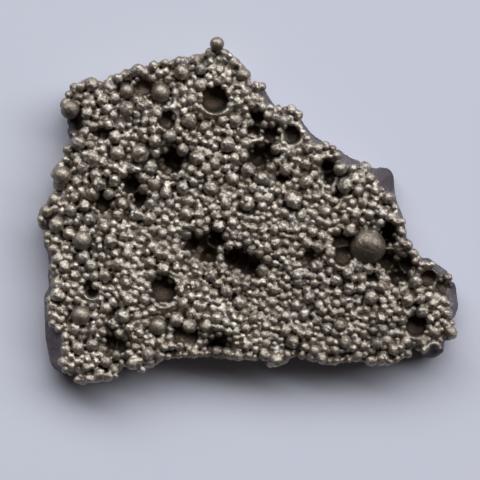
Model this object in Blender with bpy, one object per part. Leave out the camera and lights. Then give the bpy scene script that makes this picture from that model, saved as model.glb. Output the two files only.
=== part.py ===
"""A chip of electrolytic cobalt, grown and broken off as one piece: a flat-backed plate with a crust of
rounded nodules on its upper side, small pits and craters between them, and bare broken edges."""

import bmesh
import bpy
import numpy as np
from mathutils import Matrix, Vector
from mathutils.geometry import delaunay_2d_cdt

MM = 0.001

# Driving dimensions, in millimetres.
CHIP_LENGTH = 30.3
PLATE_THICKNESS = 2.75
WIDEST_HEIGHT = 1.3
NODULE_SETBACK = 0.2
BACK_SETBACK = 0.3
SWELL = 0.16
GRID_PITCH = 0.26
VOXEL = 0.13
KEPT_SHARE = 0.043
SMALLEST_NODULE = 5.5
UNDERCUT_DEPTH = 0.6

# The chip is laid out on a square survey grid seen from above: x to the right, y towards the viewer.
# The chip is 424 grid steps long, and its middle is at (248.5, 209.9).
STEP = CHIP_LENGTH / 424
MIDDLE_X, MIDDLE_Y = 248.5, 209.9

# The chip's outer edge, clockwise from the notch in its left side.
OUTLINE = [
    (63, 141), (64, 131), (69, 127), (67, 122), (63, 117), (60.5, 112), (60, 106), (61, 101), (64, 96.5),
    (67, 89), (75, 84), (84, 79), (90, 77.5), (99, 81), (106, 81.5), (112, 75), (121, 73), (131, 67),
    (137, 66), (143, 67.5), (151, 63), (160, 61), (170, 60), (184, 57.5), (195, 53.5), (206, 52),
    (212, 46), (222, 46), (229, 52), (239, 60), (247, 70), (256, 82.5), (264.5, 88), (269, 97),
    (274, 104.5), (286, 106), (295, 107.5), (303, 115), (306, 126), (313, 134.5), (324, 141.5),
    (337, 147), (348, 156.5), (361, 161), (372, 168.5), (388, 166.8), (394, 172), (395, 185),
    (396, 198), (402.5, 213), (408, 228), (408, 239), (417, 245), (424, 252), (430, 258.5), (438, 264.5),
    (450, 272.5), (457.5, 285), (458, 297), (460.5, 307), (456, 316), (458, 328), (455, 338), (447, 346),
    (438, 354), (428, 356), (410, 357), (396, 363), (381, 368), (370, 366), (360, 360.5), (346, 363),
    (334, 365), (318, 364), (306, 360), (291, 357), (284, 363), (274, 366.5), (262, 358.5), (248, 360),
    (228, 360), (208, 357), (187, 357.5), (165, 359), (151, 368.5), (141, 373.5), (133, 369.5),
    (120, 366), (118, 375), (105, 383), (91, 382), (81, 384.5), (70, 380), (59, 373), (50, 368),
    (46.5, 352), (43.5, 335), (43.5, 315), (42.5, 298), (46, 287), (48, 265), (47, 254), (41, 245),
    (40.5, 233), (36.5, 222), (38.5, 209), (47, 200.5), (55, 188), (50.5, 173), (56, 165), (64, 160),
]

# Bare broken faces, where the crust stops short of the edge: x, y, reach along the edge, width.
BARE_FACES = [
    (47, 348, 30, 19), (56, 371, 16, 9), (43, 312, 30, 5), (48, 268, 20, 5), (41, 245, 12, 4),
    (265, 95, 16, 8), (306, 126, 12, 4), (315, 136, 14, 7), (348, 158, 16, 9), (388, 176, 20, 13),
    (399, 209, 18, 5), (407, 232, 16, 4), (438, 268, 16, 8), (459, 300, 20, 11), (434, 352, 16, 8),
]

# Holes and craters in the crust: x, y, radius, depth in millimetres.
HOLES = [
    (172, 160, 11, 1.5), (132, 184, 7, 1.1), (140, 198, 6, 0.9), (262, 155, 11, 1.2), (257, 117, 6, 0.9),
    (271, 133, 7, 0.9), (283, 178, 7, 0.8), (327, 166, 7, 1.2), (389, 235, 8, 1.0), (388, 261, 7, 1.1),
    (407, 263, 7, 1.2), (370, 256, 9, 0.9), (398, 275, 8, 1.2), (342, 244, 10, 1.0), (192, 243, 8, 1.1),
    (215, 240, 8, 1.1), (209, 254, 8, 1.1), (236, 260, 10, 1.3), (250, 265, 9, 1.2), (112, 343, 11, 1.0),
    (217, 347, 9, 1.3), (103, 204, 9, 0.7), (102, 133, 8, 0.7), (446, 286, 8, 0.9), (92, 292, 5, 0.7),
]
CRATERS = [
    (214, 99, 14, 0.75), (166, 117, 10, 0.5), (162, 291, 14, 0.7), (291, 135, 11, 0.55),
    (418, 327, 13, 0.7), (429, 279, 10, 0.5), (343, 258, 10, 0.45), (142, 88, 9, 0.35),
]

# The larger nodules: x, y, radius.
NODULES = [
    (217, 43, 7.5), (217, 50, 5.5), (91, 84, 8), (70, 108, 10.5), (127, 90, 8), (113, 79, 6), (128, 74, 7),
    (138, 69, 7), (144, 72, 6), (127, 108, 7.5), (107, 108, 6.5), (103, 100, 6.5), (87, 112, 6.5),
    (120, 126, 6), (115, 136, 6.5), (126, 135, 5.5), (78, 142, 8), (108, 124, 5.5), (141, 106, 5.5),
    (160.5, 91.5, 10.5), (182, 72, 8), (201, 68, 6.5), (239, 70, 7.5), (223, 57, 7.5), (200, 84, 7),
    (238, 101, 6), (189, 119.5, 8.5), (235.5, 119.5, 7), (155, 140, 6.5), (170, 135.5, 6.5),
    (205, 126.5, 6.5), (227.5, 144, 8), (182, 149, 6.5), (252, 137.5, 5.5), (257, 86, 6), (278, 109, 5.5),
    (291, 109, 5.5), (298, 114, 6), (308, 147, 6), (276, 148, 6.5), (305, 163, 6), (286, 168.5, 7),
    (263, 177.5, 7.5), (306, 180, 8), (340, 168, 7), (365, 167.5, 7), (345, 184, 8.5), (358, 190, 6),
    (389, 197.5, 7), (356, 213, 5.5), (369.5, 213.5, 5.5), (390.5, 216.5, 5.5), (381, 222.5, 5.5),
    (350, 229.5, 7.5), (368, 239.5, 8.5), (408, 244.5, 5.5), (62, 174, 10.5), (76, 181, 6), (82.5, 167, 6),
    (96, 174, 6.5), (99, 183.5, 7.5), (117, 152, 7.5), (140, 152.5, 9.5), (115, 180, 6.5), (109, 193, 6.5),
    (59, 193.5, 7), (71, 209, 6.5), (84, 205, 6.5), (49, 207, 6), (43.5, 221.5, 7), (56.5, 223.5, 8), (89, 218, 6.5),
    (69, 232.5, 7), (82, 239, 10.5), (55, 243, 6), (103, 222, 6), (111, 240, 7.5), (118, 214, 6.5),
    (136, 214, 7.5), (122.5, 203, 6), (149, 217.5, 7), (127.5, 253.5, 6), (115, 253, 5.5),
    (82.5, 256, 7.5), (151, 167, 8), (175, 176, 5.5), (182.5, 187, 7), (166.5, 191.5, 6.5),
    (155, 196.5, 5.5), (197, 157, 8.5), (214.5, 162.5, 6), (244, 155.5, 5.5), (248.5, 169, 7.5),
    (232.5, 177.5, 7.5), (230, 186.5, 6), (253, 187.5, 5.5), (211, 187, 8), (208, 200.5, 6),
    (225.5, 202.5, 6), (247, 202.5, 8.5), (216, 215, 5.5), (198, 214, 5.5), (186, 213, 7),
    (169, 202.5, 5.5), (162, 232.5, 5.5), (152.5, 246, 6), (218.5, 225.5, 7), (232.5, 222, 5.5),
    (252, 250, 5.5), (284, 212, 5.5), (282.5, 226, 6), (262, 229, 6), (275, 229, 5.5), (293, 199, 9.5),
    (325, 210.5, 6), (344.5, 218.5, 5.5), (334, 200, 6), (312.5, 231, 6), (307, 242, 5.5), (318, 246, 6.5),
    (275, 242, 6), (65, 266, 6), (91.5, 265, 6.5), (105, 275, 7), (57, 283, 6.5), (57.5, 294, 8),
    (126, 282, 6), (128, 299, 5.5), (80.5, 314, 10.5), (95, 315, 5.5), (60, 310, 5.5), (106, 307.5, 6.5),
    (122.5, 315, 7.5), (114, 323, 7), (74, 328, 6), (130, 327, 5.5), (145, 299, 5.5), (78, 347, 7),
    (92, 344, 6.5), (106, 361, 6.5), (82, 377, 7.5), (99.5, 373.5, 7), (107, 376, 6), (148, 353, 6.5),
    (139, 361, 5.5), (150, 262, 6.5), (163, 268, 7), (211, 274, 7), (218, 282.5, 5.5), (227, 290, 6.5),
    (195, 285, 6), (180, 288.5, 6), (239.5, 301.5, 7.5), (183, 303, 6), (191, 312.5, 5.5),
    (177, 319, 7.5), (158, 325, 9.5), (189, 325, 8), (206, 325, 6), (216.5, 317.5, 6), (246, 327.5, 6),
    (247, 344, 6), (262.5, 270, 7), (297, 275, 5.5), (298, 282, 5.5), (297, 265, 5.5), (316.5, 265, 7.5),
    (348, 272, 6), (358, 266.5, 5.5), (368, 268, 6.5), (336, 280, 6.5), (337, 292.5, 5.5), (349.5, 288, 7),
    (361, 288, 5.5), (309, 297, 6), (295.5, 305, 5.5), (304, 313.5, 6.5), (286, 315.5, 5.5),
    (292, 341, 7), (314.5, 350, 6), (327, 328, 6), (340, 324, 6), (345, 341.5, 6), (271, 361, 6),
    (283, 358, 6), (415.5, 281, 7.5), (403, 285, 5.5), (422, 263, 5.5), (407.5, 298.5, 7.5),
    (371, 297, 8), (397.5, 310, 5.5), (422, 310.5, 7), (447, 313, 6), (402.5, 320.5, 5.5),
    (381, 317.5, 6), (376.5, 343, 6), (397, 348, 6.5), (383, 357.5, 7), (396, 333, 6), (440, 340, 6),
]


def to_mm(points):
    """Survey points as millimetres about the chip's middle, +X right and +Y away from the viewer."""
    points = np.array(points, float)
    return np.column_stack([(points[:, 0] - MIDDLE_X) * STEP, (MIDDLE_Y - points[:, 1]) * STEP])


def moved_inwards(outline, distance):
    """The clockwise outline with each point moved inwards by its distance."""
    along = np.roll(outline, -1, axis=0) - np.roll(outline, 1, axis=0)
    along = np.roll(along, 1, axis=0) + 2 * along + np.roll(along, -1, axis=0)
    along /= np.linalg.norm(along, axis=1)[:, None]
    inwards = np.column_stack([along[:, 1], -along[:, 0]])
    return outline + inwards * np.broadcast_to(distance, len(outline))[:, None]


def bare_width(outline):
    """How far the crust is set back from the edge at each outline point, in millimetres."""
    width = np.zeros(len(outline))
    for x, y, reach, bare in BARE_FACES:
        away = np.linalg.norm(outline - to_mm([(x, y)])[0], axis=1) / (reach * STEP)
        width = np.maximum(width, bare * STEP * np.clip(1.6 * (1 - away**2), 0, 1))
    return width


def plate_height(points):
    """The plate's upper side under the nodules: a gentle swell with the holes and craters sunk in it."""
    x, y = points[:, 0], points[:, 1]
    height = PLATE_THICKNESS + SWELL * (np.sin(0.42 * x + 0.8) * np.cos(0.37 * y - 0.5))
    for holes, steepness in ((HOLES, 4), (CRATERS, 2)):
        for (hx, hy), (_, _, radius, depth) in zip(to_mm([hole[:2] for hole in holes]), holes):
            away = np.hypot(x - hx, y - hy) / (radius * STEP)
            height -= depth * np.clip(1 - away**steepness, 0, None)
    return height


def inside(points, outline):
    """Which points lie inside the outline and at least half a grid pitch from its edge."""
    start, end = outline, np.roll(outline, -1, axis=0)
    px, py = points[:, 0, None], points[:, 1, None]
    crosses = (start[:, 1] > py) != (end[:, 1] > py)
    rise = np.where(end[:, 1] == start[:, 1], 1.0, end[:, 1] - start[:, 1])
    at_x = start[:, 0] + (py - start[:, 1]) / rise * (end[:, 0] - start[:, 0])
    within = (crosses & (px < at_x)).sum(axis=1) % 2 == 1
    edge = end - start
    along = ((px - start[:, 0]) * edge[:, 0] + (py - start[:, 1]) * edge[:, 1]) / (edge**2).sum(axis=1)
    along = np.clip(along, 0, 1)
    gap = np.hypot(px - start[:, 0] - along * edge[:, 0], py - start[:, 1] - along * edge[:, 1])
    return within & (gap.min(axis=1) > GRID_PITCH / 2)


def add_plate(shape):
    """The closed plate: upper side on a grid of points, broken sides in rings, and a plain underside."""
    outline = to_mm(OUTLINE)
    bare = bare_width(outline)
    top = moved_inwards(outline, np.maximum(bare, NODULE_SETBACK))
    widest = moved_inwards(outline, np.where(bare > 0, 0.03, NODULE_SETBACK))
    back = moved_inwards(outline, BACK_SETBACK + NODULE_SETBACK)
    low, high = top.min(axis=0), top.max(axis=0)
    columns, rows = np.meshgrid(np.arange(low[0], high[0], GRID_PITCH), np.arange(low[1], high[1], GRID_PITCH))
    grid = np.column_stack([columns.ravel(), rows.ravel()])
    grid = grid[inside(grid, top)]
    points = [Vector(point) for point in np.vstack([top, grid])]
    edges = [(i, (i + 1) % len(top)) for i in range(len(top))]
    flat, _, faces = delaunay_2d_cdt(points, edges, [], 1, 1e-5, False)[:3]
    flat = np.array(flat)
    heights = plate_height(flat)
    crust = [shape.verts.new((x, y, z)) for (x, y), z in zip(flat, heights)]
    for face in faces:
        shape.faces.new([crust[i] for i in face])
    upper = crust[:len(top)]
    for ring, height in ((widest, WIDEST_HEIGHT), (back, -UNDERCUT_DEPTH)):
        lower = [shape.verts.new((x, y, height)) for x, y in ring]
        for i in range(len(ring)):
            j = (i + 1) % len(ring)
            shape.faces.new([upper[j], upper[i], lower[i], lower[j]])
        upper = lower
    shape.faces.new(upper)


def add_nodules(shape):
    """Each nodule is a ball sunk in the crust, and a larger one stands further out."""
    centres = to_mm([nodule[:2] for nodule in NODULES])
    for (x, y), ground, (_, _, size) in zip(centres, plate_height(centres), NODULES):
        if size < SMALLEST_NODULE:
            continue
        radius = size * STEP
        ball = Matrix.Translation((x, y, ground + radius * min(0.5, 0.06 * size - 0.15)))
        bmesh.ops.create_icosphere(shape, subdivisions=2, radius=radius, matrix=ball)


def mesh_object(name, shape, size):
    """A mesh object from a bmesh whose points are in units of the given size, in metres."""
    bmesh.ops.scale(shape, vec=(size, size, size), verts=shape.verts)
    bmesh.ops.recalc_face_normals(shape, faces=shape.faces)
    mesh = bpy.data.meshes.new(name)
    shape.to_mesh(mesh)
    shape.free()
    made = bpy.data.objects.new(name, mesh)
    bpy.context.scene.collection.objects.link(made)
    return made


def cobalt_metal():
    material = bpy.data.materials.new("cobalt_metal")
    material.use_nodes = True
    surface = material.node_tree.nodes["Principled BSDF"]
    surface.inputs["Base Color"].default_value = (0.33, 0.30, 0.26, 1)
    surface.inputs["Metallic"].default_value = 1.0
    surface.inputs["Roughness"].default_value = 0.36
    return material


def ground_cutter():
    """The block under the chip that leaves its back flat."""
    shape = bmesh.new()
    side = 1.4 * CHIP_LENGTH
    place = Matrix.Translation((0, 0, -side / 2)) @ Matrix.Scale(side, 4)
    bmesh.ops.create_cube(shape, size=1, matrix=place)
    cutter = mesh_object("ground_cutter", shape, MM)
    cutter.hide_render = True
    cutter.display_type = "WIRE"
    return cutter


def cobalt_chip():
    shape = bmesh.new()
    add_plate(shape)
    add_nodules(shape)
    chip = mesh_object("cobalt_chip", shape, MM)
    chip.data.materials.append(cobalt_metal())
    grown = chip.modifiers.new("grown_together", "REMESH")
    grown.mode = "VOXEL"
    grown.voxel_size = VOXEL * MM
    lighter = chip.modifiers.new("fewer_facets", "DECIMATE")
    lighter.ratio = KEPT_SHARE
    flat_back = chip.modifiers.new("flat_back", "BOOLEAN")
    flat_back.operation = "DIFFERENCE"
    flat_back.solver = "EXACT"
    flat_back.object = ground_cutter()
    return chip


for leftover in list(bpy.data.objects):
    bpy.data.objects.remove(leftover)
cobalt_chip()
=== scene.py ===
import math

import bmesh
import bpy
import numpy as np
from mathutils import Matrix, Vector, noise
from mathutils.geometry import delaunay_2d_cdt
from mathutils.kdtree import KDTree


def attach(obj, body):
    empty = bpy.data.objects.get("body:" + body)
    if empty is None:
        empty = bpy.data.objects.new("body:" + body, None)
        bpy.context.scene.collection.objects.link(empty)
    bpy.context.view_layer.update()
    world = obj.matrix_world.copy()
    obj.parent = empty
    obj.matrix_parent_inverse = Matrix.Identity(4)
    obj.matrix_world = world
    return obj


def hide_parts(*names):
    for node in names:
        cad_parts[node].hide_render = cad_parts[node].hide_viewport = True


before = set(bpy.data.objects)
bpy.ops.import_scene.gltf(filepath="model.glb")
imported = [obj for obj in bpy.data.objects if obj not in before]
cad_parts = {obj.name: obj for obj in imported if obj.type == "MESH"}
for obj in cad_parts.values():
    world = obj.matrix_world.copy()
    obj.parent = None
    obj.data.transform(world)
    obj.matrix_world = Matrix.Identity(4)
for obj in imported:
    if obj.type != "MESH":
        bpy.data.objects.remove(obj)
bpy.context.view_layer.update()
mm = 0.001

# Places are in survey steps, x to the right and y towards the viewer. One step is one pixel of the
# view from above.
chip = {
    "length": 30.3,            # mm, left tip to right tip
    "surveyLength": 424,       # the same, in survey steps
    "plateThickness": 2.75,    # mm, back to the foot of the nodules
    "widestHeight": 1.3,       # mm, where the bare broken faces stand out most
    "nodularSetback": 0.45,    # mm, plate edge to outer edge where nodules overhang
    "backSetback": 0.3,        # mm more at the back
    "funnel": 2.0,             # mouth of a hole, as a share of its radius
    "craterTilt": 0.45,        # how much steeper one side of a bowl is
    "lipHeight": 1.25,         # of a lip's thickness
    "lipWidth": 1.0,
    "holeDepth": 0.78,         # share of the surveyed depth
    "fuseRounds": 3,           # how far neighbours melt into each other
    "edgeRound": 0.5,          # mm, where the nodular crust rolls over the edge
    "paintedShadeMargin": 0.5,          # mm from the edge, where the painted shade of the hollows stops
    "swell": 0.14,             # mm, slow rise and fall of the plate
    "moat": 0.2,               # mm, hollow around a large nodule
    "sideRoughness": 0.05,     # mm, unevenness of the broken sides
    "waves": (0.42, 0.8, 0.37, -0.5),    # of the swell: rate per mm and shift, across and along
    "dips": (0.26, 1.7, 3.5),  # mm deep, mm wide, seed
    "fractures": [(0.06, 0.45, 2.5), (0.03, 0.2, 6.5)],    # the same, on the broken faces
    "flutes": [(1, 0.7, 2.2), (0.6, 0.25, 0.9)],           # on the sides: share, mm wide, mm high
    "moatFrom": 6,             # survey radius from which a nodule counts as large
    "moatPlace": (1.1, 0.35),  # where its hollow lies and how wide it is, in nodule radii
    "pitCurve": 1.5,           # higher makes a hole more pointed
    "lipTaper": 0.5,           # higher makes a lip fade earlier towards its ends
    "leastMetal": 0.5,         # mm left under the deepest hole
    "bareEnds": 1.6,           # how abruptly a bare face ends
    "bareSmoothing": 8,
    "bareFrom": 0.12,          # mm of width from which a face is broken
    "bareFull": 0.35,          # mm of width from which nothing overhangs
    "fallCurve": 0.8,
    "undercut": 1.6,           # how late the back setback begins on the way down
    "sideRings": 9,
    "outlinePitch": 0.13,      # mm
    "gridPitch": 0.1,          # mm, plate mesh
    "voxel": 0.045,            # mm, fineness of the grown surface
    "quickVoxel": 0.085,
    "triangles": 194000,
    "quickTriangles": 120000,
}
chip["step"] = chip["length"] / chip["surveyLength"]    # mm
surveyMiddle = (248.5, 209.9)

# Outer edge, clockwise from the notch in the left side.
outlineSurvey = [
    (63, 141), (64, 131), (69, 127), (67, 122), (63, 117), (60.5, 112), (60, 106), (61, 101), (64, 96.5),
    (67, 89), (75, 84), (84, 79), (90, 77.5), (99, 81), (106, 81.5), (112, 75), (121, 73), (131, 67),
    (137, 66), (143, 67.5), (151, 63), (160, 61), (170, 60), (184, 57.5), (195, 53.5), (206, 52),
    (212, 46), (222, 46), (229, 52), (239, 60), (247, 70), (256, 82.5), (264.5, 88), (269, 97),
    (274, 104.5), (286, 106), (295, 107.5), (303, 115), (306, 126), (313, 134.5), (324, 141.5),
    (337, 147), (348, 156.5), (361, 161), (372, 168.5), (388, 166.8), (394, 172), (395, 185),
    (396, 198), (402.5, 213), (408, 228), (408, 239), (417, 245), (424, 252), (430, 258.5), (438, 264.5),
    (450, 272.5), (457.5, 285), (458, 297), (460.5, 307), (456, 316), (458, 328), (455, 338), (450, 347),
    (442, 355.5), (434, 359.5), (426, 357), (416, 353.5), (407, 356), (396, 363), (381, 368),
    (370, 366), (360, 360.5), (346, 363), (334, 365), (318, 364), (306, 360), (291, 357), (284, 363),
    (274, 366.5), (262, 358.5), (248, 360),
    (228, 360), (208, 357), (187, 357.5), (165, 359), (151, 368.5), (141, 373.5), (133, 369.5),
    (120, 366), (118, 375), (105, 383), (91, 382), (81, 384.5), (70, 380), (59, 373), (50, 368),
    (46.5, 352), (43.5, 335), (43.5, 315), (42.5, 298), (46, 287), (48, 265), (47, 254), (41, 245),
    (40.5, 233), (36.5, 222), (38.5, 209), (47, 200.5), (55, 188), (50.5, 173), (56, 165), (64, 160),
]

# Where the crust stops short of the edge and bare metal shows: x, y, reach along the edge, width.
bareSurvey = [
    (47, 348, 30, 19), (54, 368, 13, 10), (43, 312, 30, 5), (48, 268, 20, 5), (41, 245, 12, 4),
    (265, 95, 16, 8), (306, 126, 12, 4), (315, 136, 14, 7), (348, 158, 16, 9), (388, 176, 22, 16),
    (68, 125, 9, 6), (399, 209, 18, 5), (407, 232, 16, 4), (438, 268, 16, 8), (459, 300, 20, 11),
    (434, 354, 13, 13),
]

# Steep holes: x, y, radius, depth in mm.
holeSurvey = [
    (172, 159, 9, 2.1), (132, 184, 6.5, 1.7), (140, 198, 5.5, 1.6), (260, 156, 8, 1.9), (268, 152, 7, 1.8),
    (257, 117, 5.5, 1.4), (254, 131, 5, 1.2), (271, 133, 7, 1.5), (283, 178, 6, 1.2), (327, 166, 4, 1.8),
    (330, 177, 5.5, 1.3), (389, 230, 5, 1.6), (389, 238, 6, 1.7), (388, 261, 7, 1.8), (407, 263, 7, 1.8),
    (370, 263, 6, 0.6), (381, 258, 5, 0.7), (398, 277, 7, 1.8), (397, 269, 5, 1.6), (342, 240, 7, 1.3),
    (192, 243, 6.5, 1.7), (216, 240, 6.5, 1.7), (209, 254, 6.5, 1.7), (201, 246, 7, 1.2),
    (234, 258, 7.5, 1.9), (243, 263, 7.5, 1.9), (252, 267, 6.5, 1.8), (112, 343, 6.5, 1.4),
    (121, 345, 6, 1.3),
    (217, 348, 9, 2.0), (103, 204, 7, 1.0), (97, 133, 5, 0.9), (105, 132, 5, 0.9), (446, 286, 8, 1.2),
    (92, 292, 4, 1.2), (87, 286, 4, 0.8), (115, 85, 4, 0.8), (340, 193, 5, 0.9),
    (190, 337, 8, 0.9), (178, 335, 6, 0.8), (74, 122, 7, 1.6), (372, 277, 5, 1.0), (309, 256, 5, 0.8),
    (356, 243, 3, 0.9), (176, 165, 5, 1.9),
]

# Smooth bowls: x, y, radius, depth in mm.
craterSurvey = [
    (215, 99, 14.5, 1.05), (167, 119.5, 9.5, 0.8), (163.5, 290, 14, 1.1), (291, 135, 10, 0.8),
    (416.5, 326, 11, 0.7), (434, 350, 5.5, 0.4), (429, 279, 9, 0.7), (343, 255, 11, 0.9), (142, 88, 9, 0.4),
    (327, 167, 9, 0.5),
    (301, 263, 7, 0.4), (200, 253, 6, 0.6),
]

# Their thin raised lips: x, y, radius, from and to in degrees from +x towards +y, thickness.
lipSurvey = [
    (215.5, 97, 18, 208, 338, 3.6), (167, 121.5, 9.5, 192, 343, 1.8), (164, 293, 15.5, 220, 323, 2.2),
    (291, 136, 11, 285, 350, 2.0), (415, 328, 10.5, 225, 315, 2.6), (434, 350, 6.5, 0, 359, 1.8),
    (71, 121, 12, 235, 315, 1.8), (343, 257, 12, 215, 325, 2.2),
    (301, 261, 8, 215, 325, 1.8), (91, 293, 6, 190, 350, 1.8), (429, 279, 10, 200, 320, 1.8),
    (327, 167, 7.5, 0, 350, 1.6), (368, 245, 16.5, 150, 215, 1.3),
]

# Darker places, each marked: stains, and painted shade and shadow in bowls, holes and under the big dome: x,
# y, reach, strength.
stainAndShadeSurvey = [
    (350, 300, 100, 0.27), (268, 318, 28, 0.25), (219, 98, 13, 0.5), (172, 162, 18, 0.7),
    (136, 190, 15, 0.56), (264, 155, 16, 0.7), (256, 122, 12, 0.42), (270, 133, 10, 0.42),
    (205, 246, 23, 0.84), (242, 263, 23, 0.84),
    (367, 252, 18, 0.85), (217, 47, 8, 0.35), (163, 292, 15, 0.85), (70, 114, 9, 0.6), (387, 178, 12, 0.9),
    (390, 234, 14, 0.7), (388, 262, 16, 0.7), (405, 266, 16, 0.7), (343, 245, 15, 0.84), (417, 325, 14, 0.75),
    (434, 340, 16, 0.7), (413, 347, 10, 0.4), (446, 286, 14, 0.7), (217, 348, 15, 0.84), (113, 343, 16, 0.56),
    (145, 88, 14, 0.42), (73, 122, 12, 0.56), (104, 205, 14, 0.56), (330, 172, 14, 0.42),
    (185, 336, 14, 0.56), (97, 132, 14, 0.42), (358, 252, 12, 0.7),
]
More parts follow.
